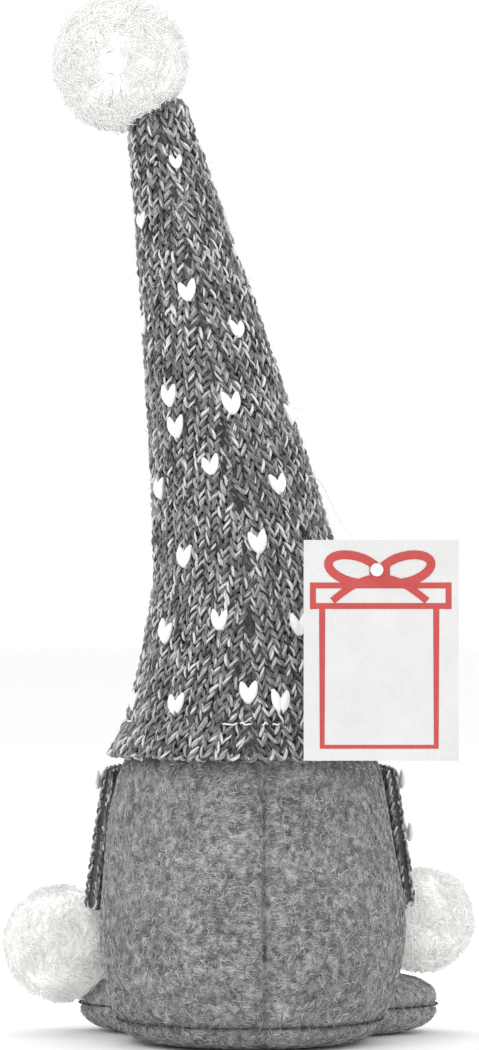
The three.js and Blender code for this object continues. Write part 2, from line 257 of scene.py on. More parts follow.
def felt_material(name, dark, mid, light, grain=1.0):
    """Matted wool: short fibres of a few tones that lie in every direction."""
    mat, tree, shader = new_material(name, Roughness=0.95, Specular_IOR_Level=0.15)
    shader.inputs["Sheen Weight"].default_value = 0.25
    shader.inputs["Sheen Roughness"].default_value = 0.6
    at = place(tree)
    lying = noise(tree, at, 300 * grain, 4, (1, 7, 7))
    for k in range(1, 5):
        turn = (0.9 * k, 0.5 + 1.1 * k, 0.7 * k)
        fibres = noise(tree, at, 300 * grain, 4, (1, 7, 7), turn)
        lying = maths(tree, "MAXIMUM", lying, fibres)
    ground = noise(tree, at, 330 * grain, 6)
    cloud = noise(tree, at, 60, 2)
    fine = maths(tree, "ADD", maths(tree, "MULTIPLY", lying, 0.6), maths(tree, "MULTIPLY", ground, 0.4))
    mixed = maths(tree, "ADD", fine, maths(tree, "MULTIPLY", maths(tree, "SUBTRACT", cloud, 0.5), 0.12))
    colour = ramp(tree, mixed, (0.475, dark), (0.56, mid), (0.66, light))
    tree.links.new(colour, shader.inputs["Base Color"])
    bump(tree, shader, fine, 1.0, 0.002)
    return mat


def yarn_material(name, dark, mid, light, streak=1.0):
    """Spun yarn: a tone for each ply, with fine streaks along it."""
    mat, tree, shader = new_material(name, Roughness=0.92, Specular_IOR_Level=0.15)
    shader.inputs["Sheen Weight"].default_value = 0.2
    tone = node(tree, "ShaderNodeAttribute", attribute_name="tone").outputs["Fac"]
    uv = node(tree, "ShaderNodeUVMap", uv_map="UVMap").outputs["UV"]
    lines = noise(tree, uv, 1.0, 4, (5, 1.1, 1))
    at = place(tree)
    specks = noise(tree, at, 1500, 3)
    streaks = maths(tree, "MULTIPLY", lines, 0.8 * streak)
    both = maths(tree, "ADD", streaks, maths(tree, "MULTIPLY", specks, 0.35 * streak))
    total = maths(tree, "ADD", tone, maths(tree, "SUBTRACT", both, 0.575 * streak))
    colour = ramp(tree, total, (0.1, dark), (0.5, mid), (0.9, light))
    tree.links.new(colour, shader.inputs["Base Color"])
    bump(tree, shader, lines, 0.6, 0.0006)
    return mat


def paper_material(name, low, high):
    """Mottled paper between two tones."""
    mat, tree, shader = new_material(name, Roughness=0.8, Specular_IOR_Level=0.25)
    at = place(tree)
    mottle = maths(tree, "ADD", noise(tree, at, 900, 4), noise(tree, at, 90, 3))
    colour = ramp(tree, maths(tree, "MULTIPLY", mottle, 0.5), (0.35, low), (0.65, high))
    tree.links.new(colour, shader.inputs["Base Color"])
    bump(tree, shader, mottle, 0.2, 0.0002)
    return mat


FELT = felt_material("grey_felt", (0.085, 0.085, 0.087), (0.27, 0.27, 0.273), (0.64, 0.64, 0.64))
SOLE = felt_material("sole_felt", (0.15, 0.15, 0.152), (0.42, 0.42, 0.423), (0.8, 0.8, 0.8), 1.1)
NOSE = felt_material("nose_felt", (0.5, 0.3, 0.2), (0.66, 0.43, 0.3), (0.8, 0.6, 0.46), 1.3)
KNIT = yarn_material("grey_yarn", (0.05, 0.05, 0.052), (0.275, 0.275, 0.278), (0.8, 0.8, 0.8))
WHITE = yarn_material("white_yarn", (0.86, 0.85, 0.83), (0.93, 0.925, 0.91), (0.97, 0.97, 0.965), 0.4)
FLUFF = yarn_material("fluffy_yarn", (0.93, 0.915, 0.89), (0.97, 0.96, 0.945), (0.99, 0.985, 0.98), 0.3)
# Painted light: the loose white yarn is given a faint even glow of its own, which stands in for light that
# scatters on through it.
PAINTED_GLOW = {"Sheen Weight": 0.4, "Emission Strength": 0.17, "Emission Color": (1.0, 0.985, 0.96, 1)}
for socket, amount in PAINTED_GLOW.items():
    FLUFF.node_tree.nodes["Principled BSDF"].inputs[socket].default_value = amount
FIBRE = yarn_material("felt_fibre", (0.06, 0.06, 0.062), (0.36, 0.36, 0.363), (0.92, 0.92, 0.92), 0.4)
FUR = yarn_material("white_fur", (0.5, 0.48, 0.44), (0.78, 0.76, 0.72), (0.92, 0.91, 0.88), 0.7)
THREAD = yarn_material("dark_thread", (0.02, 0.02, 0.02), (0.05, 0.05, 0.052), (0.12, 0.12, 0.12), 0.5)
# Painted shade: a near-black felt for the sheets that show in the gaps between stitches, where shade falls.
KNIT_GAP_SHADE = felt_material("knit_gap_painted_shade", (0.03, 0.03, 0.03), (0.075, 0.075, 0.075), (0.16, 0.16, 0.16), 1.6)
PAPER = paper_material("tag_paper", (0.67, 0.67, 0.665), (0.74, 0.74, 0.735))
PRINT = paper_material("tag_print", (0.5, 0.075, 0.072), (0.57, 0.1, 0.096))
CLOTH = felt_material("lining_cloth", (0.5, 0.48, 0.42), (0.62, 0.6, 0.54), (0.72, 0.7, 0.66))


# Geometry helpers


def shown(name, mesh, mat, body, replaces=()):
    """An object of a finished mesh that rides on a body."""
    obj = bpy.data.objects.new(name, mesh)
    scene.collection.objects.link(obj)
    mesh.materials.clear()
    mesh.materials.append(mat)
    if replaces:
        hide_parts(*replaces)
    if body:
        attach(obj, body)
    return obj


def finished(bm, name):
    """A mesh of what bm holds."""
    mesh = bpy.data.meshes.new(name)
    bm.to_mesh(mesh)
    bm.free()
    return mesh


def turned(angle):
    """The matrix of a turn about Z."""
    cos, sin = math.cos(angle), math.sin(angle)
    return np.array([[cos, -sin, 0], [sin, cos, 0], [0, 0, 1]])


def circle(angle, lift=0.0):
    """Level directions at the given angles, tipped up by lift."""
    return np.stack([np.cos(angle), np.sin(angle), lift + 0 * angle], 1)


def slab(name, columns, rows):
    """A closed sheet one unit each way, cut into a grid."""
    bm = bmesh.new()
    bmesh.ops.create_grid(bm, x_segments=columns, y_segments=rows, size=0.5)
    made = bmesh.ops.extrude_face_region(bm, geom=bm.faces[:])
    for v in made["geom"]:
        if isinstance(v, bmesh.types.BMVert):
            v.co.z = 1
    bmesh.ops.recalc_face_normals(bm, faces=bm.faces)
    return finished(bm, name)


def tube_template(rings, sides):
    """A closed tube: a cone with its sides cut across into rings."""
    bm = bmesh.new()
    bmesh.ops.create_cone(bm, cap_ends=True, segments=sides, radius1=1, radius2=1, depth=1)
    upright = [e for e in bm.edges if abs(e.verts[0].co.z - e.verts[1].co.z) > 0.5]
    if rings > 2:
        bmesh.ops.subdivide_edges(bm, edges=upright, cuts=rings - 2)
    mesh = finished(bm, "tube")
    co = np.array([v.co for v in mesh.vertices])
    ring = np.rint((co[:, 2] + 0.5) * (rings - 1)).astype(int)
    angle = np.arctan2(co[:, 1], co[:, 0])
    return mesh, ring, angle


def tubes(name, paths, radii, facing, tone, mat, body, sides=4, flat=1.0, replaces=()):
    """Many closed strands. paths is (n, k, 3) and radii (n, k), in millimetres.

    facing is the way that their flat side looks.
    """
    n, k, _ = paths.shape
    template, ring, angle = tube_template(k, sides)
    bm = bmesh.new()
    for _ in range(n):
        bm.from_mesh(template)
    mesh = finished(bm, name)
    bpy.data.meshes.remove(template)
    along = unit(np.gradient(paths, axis=1))
    out = facing - (facing * along).sum(-1, keepdims=True) * along
    out = unit(out + 1e-9)
    side = np.cross(along, out)
    wide = np.cos(angle)[None, :, None] * out[:, ring] * flat
    deep = np.sin(angle)[None, :, None] * side[:, ring]
    co = paths[:, ring] + radii[:, ring, None] * (wide + deep)
    mesh.vertices.foreach_set("co", (co * MM).astype(np.float32).ravel())
    tones = mesh.attributes.new("tone", "FLOAT", "POINT")
    tones.data.foreach_set("value", np.repeat(tone, len(ring)).astype(np.float32))
    length = np.linalg.norm(np.diff(paths, axis=1), axis=2).sum(1)
    reach = (ring / (k - 1))[None, :] * length[:, None] + rng.random(n)[:, None] * 50
    around = np.broadcast_to(angle[None, :] / math.tau + 0.5, reach.shape)
    shift = rng.random(n)[:, None] * 30
    spread = np.stack([around + shift, reach * 0.35], -1).reshape(-1, 2)
    corner = np.empty(len(mesh.loops), int)
    mesh.loops.foreach_get("vertex_index", corner)
    uv = mesh.uv_layers.new(name="UVMap")
    uv.data.foreach_set("uv", spread[corner].astype(np.float32).ravel())
    mesh.polygons.foreach_set("use_smooth", np.ones(len(mesh.polygons), bool))
    mesh.update()
    return shown(name, mesh, mat, body, replaces)


def spun(name, profile, steps=64):
    """A mesh spun about Z from a profile of (radius, height) pairs in millimetres."""
    bm = bmesh.new()
    verts = [bm.verts.new((r * MM, 0, z * MM)) for r, z in profile]
    edges = [bm.edges.new(pair) for pair in zip(verts, verts[1:])]
    bmesh.ops.spin(
        bm, geom=verts + edges, axis=(0, 0, 1), cent=(0, 0, 0), steps=steps, angle=math.tau, use_merge=True
    )
    bmesh.ops.remove_doubles(bm, verts=bm.verts, dist=1e-5)
    bmesh.ops.recalc_face_normals(bm, faces=bm.faces)
    return finished(bm, name)


def ball_mesh(name, centre, size, steps=24, square=2.0):
    """A rounded form turned from half an oval, boxier where square is above 2, and moved to its place."""
    angles = np.linspace(-math.pi / 2, math.pi / 2, steps)
    mesh = spun(name, [(math.cos(a), math.sin(a)) for a in angles], steps * 2)
    co = coordinates(mesh) / MM
    co = co / (np.abs(co) ** square).sum(1, keepdims=True) ** (1 / square)
    set_coordinates(mesh, (co * np.array(size) + np.array(centre)) * MM)
    return mesh


def coordinates(mesh):
    co = np.empty(len(mesh.vertices) * 3)
    mesh.vertices.foreach_get("co", co)
    return co.reshape(-1, 3)


def set_coordinates(mesh, co):
    mesh.vertices.foreach_set("co", np.asarray(co, np.float32).ravel())
    mesh.update()


def evaluated(obj):
    """A new mesh of the object with its modifiers applied."""
    graph = bpy.context.evaluated_depsgraph_get()
    return bpy.data.meshes.new_from_object(obj.evaluated_get(graph))


def stuffed(mesh, held, cell=5.0, most=1.6, levels=1):
    """A filled cover: an even net, swollen by pressure but held at its seams, then made finer."""
    obj = bpy.data.objects.new("cover", mesh)
    scene.collection.objects.link(obj)
    remesh = obj.modifiers.new("Net", "REMESH")
    remesh.mode = "VOXEL"
    remesh.voxel_size = cell * MM
    net = evaluated(obj)
    obj.modifiers.clear()
    obj.data = net
    start = coordinates(net)
    group = obj.vertex_groups.new(name="held")
    for i in np.nonzero(held(start / MM))[0]:
        group.add([int(i)], 1.0, "REPLACE")
    cloth = obj.modifiers.new("Cloth", "CLOTH")
    cloth.settings.quality = 6
    cloth.settings.mass = 0.12
    cloth.settings.tension_stiffness = 18
    cloth.settings.compression_stiffness = 12
    cloth.settings.bending_stiffness = 0.6
    cloth.settings.use_pressure = True
    cloth.settings.uniform_pressure_force = 4.0
    cloth.settings.vertex_group_mass = "held"
    cloth.settings.effector_weights.gravity = 0
    cloth.point_cache.frame_start = 1
    cloth.point_cache.frame_end = CLOTH_STEPS
    for step in range(1, CLOTH_STEPS + 1):
        scene.frame_set(step)
    swollen = coordinates(evaluated(obj))
    scene.frame_set(1)
    obj.modifiers.clear()
    move = swollen - start
    size = np.linalg.norm(move, axis=1, keepdims=True)
    limit = most * MM
    set_coordinates(net, start + move * np.minimum(1, limit / np.maximum(size, 1e-9)))
    finer = obj.modifiers.new("Finer", "SUBSURF")
    finer.levels = levels
    finer.render_levels = levels
    done = evaluated(obj)
    bpy.data.objects.remove(obj)
    done.polygons.foreach_set("use_smooth", np.ones(len(done.polygons), bool))
    return done


# Body


def body_profile():
    """The felt body's (radius, height) pairs, from under the seat to inside the hat."""
    low = [(0, 0.2), (20, 0.2), (34, 0.3), (39, 0.9), (43, 2.8), (45.6, 5.8), (46.5, 8.5)]
    side = [(47.6, 11.5), (48.9, 15), (50.8, 22), (52.2, 31)]
    side += [(52.4, 40), (52.1, 49), (50.4, 62), (48.6, 74)]
    top = [(46.4, 86), (43.9, 97), (41, 103), (37, 110), (31, 117), (22, 123), (11, 126), (0, 127)]
    return low + side + top


def crease(co, distance, depth, width):
    """Sinks the surface towards the axis near a line, by the distance from it."""
    away = unit(co * LEVEL)
    return co - away * (depth * np.exp(-((distance / width) ** 2)))[:, None]


def ripple(co, scale, size):
    """Uneven stuffing: a slow lumpy push along the outward direction."""
    phase = rng.random((6, 3)) * math.tau
    wave = rng.normal(size=(6, 3)) * scale
    total = sum(np.sin(co @ w + p[0]) for w, p in zip(wave, phase))
    return co + unit(co * np.array([1, 1, 0.2])) * (total * size / 3)[:, None]


def make_body():
    """The felt body, with its two seams and its loose fibres."""

    def held(c):
        return (np.abs(c[:, 2] - SEAT_SEAM) < 3) | (c[:, 2] < 3)

    mesh = stuffed(spun("body_form", body_profile()), held, levels=2)
    co = coordinates(mesh) / MM
    above = np.clip((co[:, 2] - 4) / 20, 0, 1)
    moved = ripple(co, 0.05, 0.9)
    co = co + (moved - co) * above[:, None]
    co = crease(co, co[:, 2] - SEAT_SEAM, 1.5, 1.7)
    back = np.where(co[:, 1] < 0, co[:, 0] - BACK_SEAM, 1e3)
    co = crease(co, back, 2.2, 1.1)
    co[:, 2] = np.maximum(co[:, 2], 0)
    set_coordinates(mesh, co * MM)
    nodes = ["body_cover", "seat_panel", "body_stuffing", "pellet_bag"]
    body = shown("gnome_body", mesh, FELT, "gnome", nodes)
    for half in (1, 2):
        matted_fibres(f"body_fibres_{half}", mesh, 11000, 3.2, 0.56)


def matted_fibres(name, mesh, count, length, tone):
    """Short wool fibres that lie tangled on a felt surface, each along a random way in it."""
    co = coordinates(mesh) / MM
    normals = np.empty(len(co) * 3)
    mesh.vertices.foreach_get("normal", normals)
    normals = normals.reshape(-1, 3)
    open_to_view = np.nonzero(co[:, 2] > 1.0)[0]
    pick = rng.choice(open_to_view, count)
    base, out = co[pick], unit(normals[pick])
    way = rng.normal(size=(count, 3))
    way = unit(way - (way * out).sum(1, keepdims=True) * out)
    across = np.cross(out, way)
    base = base + (way * rng.normal(0, 0.5, (count, 1)) + across * rng.normal(0, 0.5, (count, 1)))
    s = np.linspace(-0.5, 0.5, 3)[None, :, None]
    reach = length * rng.uniform(0.5, 1.2, count)[:, None, None]
    curl = rng.normal(0, 0.9, count)[:, None, None]
    lift = (0.22 - 0.9 * s**2) * rng.uniform(0.3, 1.0, count)[:, None, None]
    paths = base[:, None] + reach * s * way[:, None] + reach * curl * s**2 * across[:, None]
    paths = paths + lift * out[:, None]
    radii = np.repeat(np.array([[0.6, 1.0, 0.6]]) * FELT_FIBRE, count, 0)
    facing = np.repeat(out[:, None], 3, 1)
    tubes(name, paths, radii, facing, rng.normal(tone, 0.3, count), FIBRE, "gnome", 3)


def seam_stitches(name, line, outward, size, nodes):
    """A running stitch along a closed or open line of points."""
    paths, facing = [], []
    for a, b, n in zip(line, line[1:], outward):
        steps = np.linspace(0.12, 0.88, 5)[:, None]
        arch = np.sin(np.linspace(0, math.pi, 5))[:, None] * 0.35 - 0.15
        paths.append(a + (b - a) * steps + n * arch)
        facing.append(np.repeat(n[None], 5, 0))
    paths = np.array(paths)
    radii = np.full(paths.shape[:2], size)
    tone = rng.normal(0.5, 0.12, len(paths))
    tubes(name, paths, radii, np.array(facing), tone, THREAD, "gnome", 5, replaces=nodes)


def make_seat_seam():
    angle = np.linspace(0, math.tau, 85)
    out = circle(angle)
    line = out * 45.7 + np.array([0, 0, SEAT_SEAM])
    seam_stitches("seat_seam", line, out, 0.42, ["seat_seam_thread"])


# Feet


def make_foot(name, side, splay):
    """A stuffed foot turned outwards by splay degrees, with a seam round its middle."""
    turn = math.radians(-side * splay)
    centre = np.array([-FOOT_REACH * math.sin(turn), FOOT_REACH * math.cos(turn), FOOT_HEIGHT])
    form = ball_mesh(name, (0, 0, 0), (17.6, 28.2, 10.9), 20, FOOT_SQUARE)
    spin = turned(turn)
    co = coordinates(form) / MM @ spin.T + centre
    set_coordinates(form, co * MM)
    mesh = stuffed(form, lambda c: np.abs(c[:, 2] - 10) < 1.6, cell=3.2, most=1.0)
    co = coordinates(mesh) / MM
    middle = co - centre
    level = middle[:, 2] + 0.5
    inward = unit(middle * LEVEL)
    co = co - inward * (1.5 * np.exp(-((level / 1.3) ** 2)))[:, None]
    co[:, 2] = np.maximum(co[:, 2], 0.05)
    set_coordinates(mesh, co * MM)
    nodes = [f"{name}_upper", f"{name}_sole", f"{name}_stuffing"]
    foot = shown(name, mesh, SOLE, "gnome", nodes)
    matted_fibres(f"{name}_fibres", mesh, 3200, 3.0, 0.66)
    angle = np.linspace(0, math.tau, 43)
    ring = circle(angle)
    ring = ring / (np.abs(ring) ** FOOT_SQUARE).sum(1, keepdims=True) ** (1 / FOOT_SQUARE)
    local = ring * np.array([17.2, 27.7, 0]) + np.array([0, 0, -0.5])
    out = unit(np.stack([np.cos(angle) / 17, np.sin(angle) / 27, 0 * angle], 1))
    line = local @ spin.T + centre
    seam_stitches(f"{name}_seam", line, out @ spin.T, 0.36, [f"{name}_seam_thread"])


# Knit


SLOPE = math.hypot(TAPER, TALL)
APEX = CROWN / TAPER * SLOPE


def hat_point(side, x, y, rise):
    """A point of one flat knitted half, laid round its side of the hat, rise millimetres off the surface."""
    slant = np.hypot(x, y)
    turn = side * math.pi / 2 + np.arctan2(x, y) * SLOPE / TAPER
    z = BRIM + TALL * (CROWN / TAPER) * (1 - slant / APEX)
    seam = (math.pi - np.abs(turn)) * hat_radius(z)
    sink = SEAM_SINK * np.exp(-((seam / 2.6) ** 2)) + 1.1 * np.exp(-(((z - HEM_LINE) / 1.3) ** 2))
    under = np.clip((BRIM + HEM_ROLL - z) / HEM_ROLL, 0, 3)
    roll = np.minimum(under, math.pi / 2)
    r = hat_radius(np.maximum(z, BRIM)) + rise * np.cos(roll) - sink - HEM_ROLL * (1 - np.cos(roll))
    r = r - np.maximum(0, under - math.pi / 2)
    rolled = BRIM + HEM_ROLL - np.sin(roll) - np.minimum(rise, 0.4) * np.sin(roll) * 0.5
    z = np.where(under > 0, rolled, z)
    return np.stack([lean(z) + r * np.sin(turn), r * np.cos(turn), z], -1), turn


def leg_shape(k):
    """One leg of a stitch: across, up and out, as shares of the wale, the course and the yarn."""
    s = np.linspace(0, 1, k)
    ease = s * s * (3 - 2 * s)
    return 0.05 + 0.36 * ease, -0.2 + 1.45 * s, np.sin(math.pi * np.clip(s, 0.02, 0.98)) ** 0.8 * 1.1 - 0.7


def knit_legs(k, shift_x=0.0, shift_y=0.0, sunk=0.0, loose=0.22):
    """The middle lines of every stitch leg on the two halves of the hat, and the way each faces."""
    across, up, out = leg_shape(k)
    points, facing = [], []
    for side in (-1, 1):
        lines = []
        for column in range(-17, 18):
            for row in range(0, 104):
                x, y = (column + shift_x) * WALE, APEX - (row + shift_y) * COURSE + 4
                wide = abs(math.atan2(x, y)) * SLOPE / TAPER
                slant = math.hypot(x, y)
                if wide > math.pi / 2 - 0.01 or slant > APEX + 2.5 or slant < APEX - SLOPE - 2:
                    continue
                x += rng.normal(0, loose)
                y += rng.normal(0, loose)
                grow = rng.normal(1, 0.08)
                for hand in (-1, 1):
                    tilt = rng.normal(0, 0.07)
                    h = hand * across * WALE + tilt * up * COURSE
                    lines.append((x + h, y - up * COURSE * grow, out * YARN - sunk + rng.normal(0, 0.18)))
        lines = np.array(lines)
        laid, turn = hat_point(side, lines[:, 0], lines[:, 1], lines[:, 2])
        points.append(laid)
        facing.append(np.stack([np.sin(turn), np.cos(turn), 0.14 + 0 * turn], -1))
    return np.concatenate(points), np.concatenate(facing)


def twisted(points, facing, turns, gap):
    """Two plies wound round each line."""
    n, k, _ = points.shape
    along = unit(np.gradient(points, axis=1))
    out = unit(facing - (facing * along).sum(-1, keepdims=True) * along)
    side = np.cross(along, out)
    start = rng.random((n, 1)) * math.tau
    wind = start + np.linspace(0, turns * math.tau, k)[None]
    plies = []
    for half in (0, math.pi):
        a = (wind + half)[..., None]
        plies.append(points + gap * (np.cos(a) * out + np.sin(a) * side))
    return np.concatenate(plies)


def marled(n):
    """Tones of two plies: one mostly dark and one mostly light, with odd ones between."""
    dark = rng.normal(0.33, 0.17, n)
    light = rng.normal(0.62, 0.2, n)
    return np.concatenate([dark, light])


def make_hat_knit():
    """The stitches that show, each leg of two plies, over a row of stitches behind them that is darker as
    painted shade.
    """
    points, facing = knit_legs(7)
    plies = twisted(points, facing, 0.6, PLY_GAP)
    facing = np.concatenate([facing, facing])
    taper = np.array([0.7, 0.95, 1.05, 1.08, 1.05, 0.95, 0.7]) * PLY
    radii = taper[None] * rng.uniform(0.75, 1.25, len(plies))[:, None]
    tone = marled(len(points))
    order = np.argsort(plies[:, 3, 2])
    pieces = []
    for i, part in enumerate(np.array_split(order, 5)):
        name = f"hat_knit_{i + 1}"
        made = tubes(name, plies[part], radii[part], facing[part], tone[part], KNIT, None, 4)
        pieces.append(made)
    points, facing = knit_legs(5, 0.5, 0.4, 1.0, 0.4)
    # Painted shade: the deeper row gets only dark tones, for the shade that falls between the front
    # stitches.
    tone = rng.normal(0.33, 0.16, len(points))
    radii = np.array([0.8, 1, 1.1, 1, 0.8])[None] * rng.uniform(0.45, 0.75, len(points))[:, None]
    pieces.append(tubes("hat_knit_behind", points, radii, facing, tone, KNIT, None, 4))
    return pieces


def make_hat_shell():
    """A near-black sheet inside the knit, painted shade that shows in the gaps between the stitches, and its
    folded hem.
    """
    low, high = np.linspace(BRIM + 0.4, BRIM + 30, 12), np.linspace(BRIM + 40, BRIM + TALL, 22)
    heights = np.concatenate([low, high])
    hem = [float(np.exp(-(((z - HEM_LINE) / 2) ** 2))) for z in heights]
    outer = [(float(hat_radius(z)) - 1.7 - dip, float(z)) for z, dip in zip(heights, hem)]
    tip = [(8 * math.cos(a), BRIM + TALL + 8 * math.sin(a)) for a in np.linspace(0, math.pi / 2, 6)[1:]]
    inner = [(float(hat_radius(z)) - 4.4, float(z)) for z in heights[:6]]
    roof = [(0, BRIM + 24), (inner[-1][0], BRIM + 20)]
    profile = roof + inner[::-1][1:] + outer + tip[:-1] + [(0, BRIM + TALL + 8)]
    mesh = spun("hat_inside", profile, 72)
    co = coordinates(mesh) / MM
    co[:, 0] += lean(co[:, 2])
    set_coordinates(mesh, co * MM)
    nodes = ["hat_lower_knit", "hat_upper_knit", "hat_lower_stuffing", "hat_upper_stuffing"]
    return shown("hat_inside", mesh, KNIT_GAP_SHADE, None, nodes)


def bend_with_hat(obj):
    """Bakes a piece of the hat's placement into its mesh; it is not attached to a body."""
    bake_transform(obj)


def make_hem_thread():
    """The pale sewing thread that shows here and there along the hem's stitched line."""
    lines = []
    for start, end in HEM_STITCHES:
        s = np.linspace(0, 1, 6)
        x = (start + (end - start) * s - PHOTO_X) * PIXEL
        z = HEM_LINE + rng.normal(0, 0.25, 6)
        r = hat_radius(z) + 0.35 + 0.35 * np.sin(s * math.pi)
        lines.append(np.stack([x, -np.sqrt(r * r - x * x), z], 1))
    lines = np.array(lines)
    radii = np.full(lines.shape[:2], 0.32)
    facing = unit(lines * LEVEL)
    tone = np.full(len(lines), 0.5)
    thread = tubes("hem_thread", lines, radii, facing, tone, WHITE, None, 5)
    bend_with_hat(thread)


def heart_lines(centre, right, up, out, size):
    """Two fat strands that meet at the foot of a heart and spread at its top."""
    s = np.linspace(0, 1, 6)
    lines = []
    for hand in (-1, 1):
        across = hand * (0.03 + 0.33 * s + rng.normal(0, 0.02)) * size
        high = (-0.55 + (1.05 + rng.normal(0, 0.06)) * s) * size
        lift = 0.7 + 0.5 * np.sin(s * math.pi)
        lines.append(centre + across[:, None] * right + high[:, None] * up + lift[:, None] * out)
    return lines


def make_hearts():
    """The hat's hearts: those that the photo shows, and their like on the front."""
    lines, facing, radii = [], [], []
    spots = []
    for px, py in HEARTS:
        x, z = photo(px, py)
        share = np.clip((x - float(lean(z))) / float(hat_radius(z)), -0.97, 0.97)
        spots.append((math.asin(share), z, -1))
        spots.append((math.asin(-share) + rng.normal(0, 0.08), z + rng.normal(0, 2), 1))
    for angle, z, face in spots:
        out = np.array([math.sin(angle), face * math.cos(angle), 0.12])
        out = out / np.linalg.norm(out)
        centre = np.array([float(lean(z)), 0, z]) + out * LEVEL * float(hat_radius(z))
        up = unit(np.array([-0.16 if z > BRIM + 70 else 0.0, 0, 1.0]) - out * out[2])
        right = np.cross(up, out)
        size = rng.uniform(6.2, 7.6) * (0.75 if z > 270 else 1)
        for line in heart_lines(centre, right, up, out, size):
            lines.append(line)
            facing.append(np.repeat(out[None], 6, 0))
            radii.append(np.array([0.5, 1.3, 1.75, 1.7, 1.3, 0.55]) * size / HEART_FULL)
    tone = rng.normal(0.62, 0.1, len(lines))
    lines, radii, facing = np.array(lines), np.array(radii), np.array(facing)
    hearts = tubes("hat_hearts", lines, radii, facing, tone, WHITE, None, 8, 0.75)
    bend_with_hat(hearts)


def make_fuzz(name, count, sample, length, thick, body):
    """Stray fibres that stand off a surface."""
    base, out = sample(count)
    drift = unit(out + rng.normal(0, 0.75, (count, 3)))
    curl = rng.normal(0, 0.5, (count, 3))
    steps = np.linspace(0, 1, 4)[None, :, None]
    reach = (length * rng.uniform(0.4, 1.0, count))[:, None, None]
    paths = base[:, None] + reach * (drift[:, None] * steps + curl[:, None] * steps**2 * 0.6)
    radii = np.repeat(np.array([[1.0, 0.85, 0.6, 0.3]]) * thick, count, 0)
    facing = np.repeat(out[:, None], 4, 1) + 0.01
    tone = rng.normal(0.6, 0.25, count)
    return tubes(name, paths, radii, facing, tone, KNIT, body, 3)


def on_hat(count):
    """Points all over the hat, more of them low, and the way out at each."""
    t = rng.random(count) ** 1.3
    z = BRIM + 2 + t * (TALL - 4)
    a = rng.random(count) * math.tau
    out = circle(a, 0.14)
    r = hat_radius(z)[:, None] + 0.2
    base = out * LEVEL * r
    base[:, 0] += lean(z)
    base[:, 2] = z
    return base, unit(out)


def on_body(count):
    """Points all over the body, and the way out at each."""
    z = 4 + rng.random(count) * 92
    a = rng.random(count) * math.tau
    profile = np.array(body_profile())
    r = np.interp(z, profile[:, 1], profile[:, 0]) + 0.3
    out = circle(a)
    base = out * r[:, None]
    base[:, 2] = z
    return base, out


# Pompoms


def sphere_points(n):
    """Directions spread evenly over a sphere."""
    i = np.arange(n) + 0.5
    up = 1 - 2 * i / n
    a = i * math.pi * (3 - math.sqrt(5))
    flat = np.sqrt(1 - up * up)
    return np.stack([flat * np.cos(a), flat * np.sin(a), up], 1)


def make_pompom(name, centre, radius, count, body, nodes):
    """A ball of cut yarn: strands that fan out of a core, a little uneven in length."""
    centre = np.array(centre)
    way = unit(sphere_points(count) + rng.normal(0, 0.05, (count, 3)))
    tuft = np.stack([np.sin(way @ rng.normal(0, 9, 3) + k) for k in range(3)], 1)
    lump = 1 + 0.02 * np.sin(way @ rng.normal(0, 4, 3)) + 0.02 * tuft[:, 0]
    length = radius * lump * rng.uniform(0.95, 1.02, count)
    bend = rng.normal(0, 0.16, (count, 3)) + 0.3 * tuft
    steps = np.linspace(0, 1, 4)[None, :, None]
    inner = 0.8 * radius
    along = inner + (length[:, None, None] - inner) * steps
    paths = centre + unit(way[:, None] + bend[:, None] * (steps - 0.2) * steps) * along
    thick = 0.3 * rng.uniform(0.7, 1.3, count)
    radii = thick[:, None] * np.array([[1.0, 1.1, 1.0, 0.5]])
    facing = np.cross(unit(paths - centre), rng.normal(size=(count, 1, 3)))
    tubes(name, paths, radii, facing, rng.normal(0.6, 0.12, count), FLUFF, body, 3, replaces=nodes)
    core = ball_mesh(name + "_core", centre, (radius * 0.92,) * 3, 24)
    set_coordinates(core, ripple(coordinates(core) / MM, 0.25, 0.5) * MM)
    shape = shown(name + "_core", core, FLUFF, body)


# Ear flaps


def make_flap_hearts(name, side, laid, half_width, body):
    """The white hearts that show on a flap's outer face below the brim."""
    _, along, out, up = flap_frame(side)
    lines, radii = [], []
    for down, share in FLAP_HEARTS[side]:
        x = np.array(share * float(half_width(np.array(down))))
        centre = laid(x, np.array(down), np.array(2.9))
        size = rng.uniform(6.2, 7.2)
        for strand in heart_lines(centre, along, up, out, size):
            lines.append(strand)
            radii.append(np.array([0.5, 1.2, 1.6, 1.55, 1.2, 0.55]) * size / HEART_FULL)
    lines, radii = np.array(lines), np.array(radii)
    facing = np.broadcast_to(out, lines.shape)
    tone = rng.normal(0.62, 0.1, len(lines))
    tubes(name + "_hearts", lines, radii, facing, tone, WHITE, body, 8, 0.75)


def flap_frame(side):
    """The place of an ear flap's hinge, and its directions along the brim, outwards and up."""
    turn = side * (math.radians(FLAP_FORWARD) - math.pi / 2)
    tilt = math.radians(FLAP_TILT)
    spin = turned(turn)
    along = spin @ np.array([1, 0, 0])
    out = spin @ np.array([0, math.cos(tilt), math.sin(tilt)])
    up = spin @ np.array([0, -math.sin(tilt), math.cos(tilt)])
    hinge = spin @ np.array([0, HINGE_RADIUS, 0]) + np.array([0, 0, HINGE_HEIGHT])
    return hinge, along, out, up


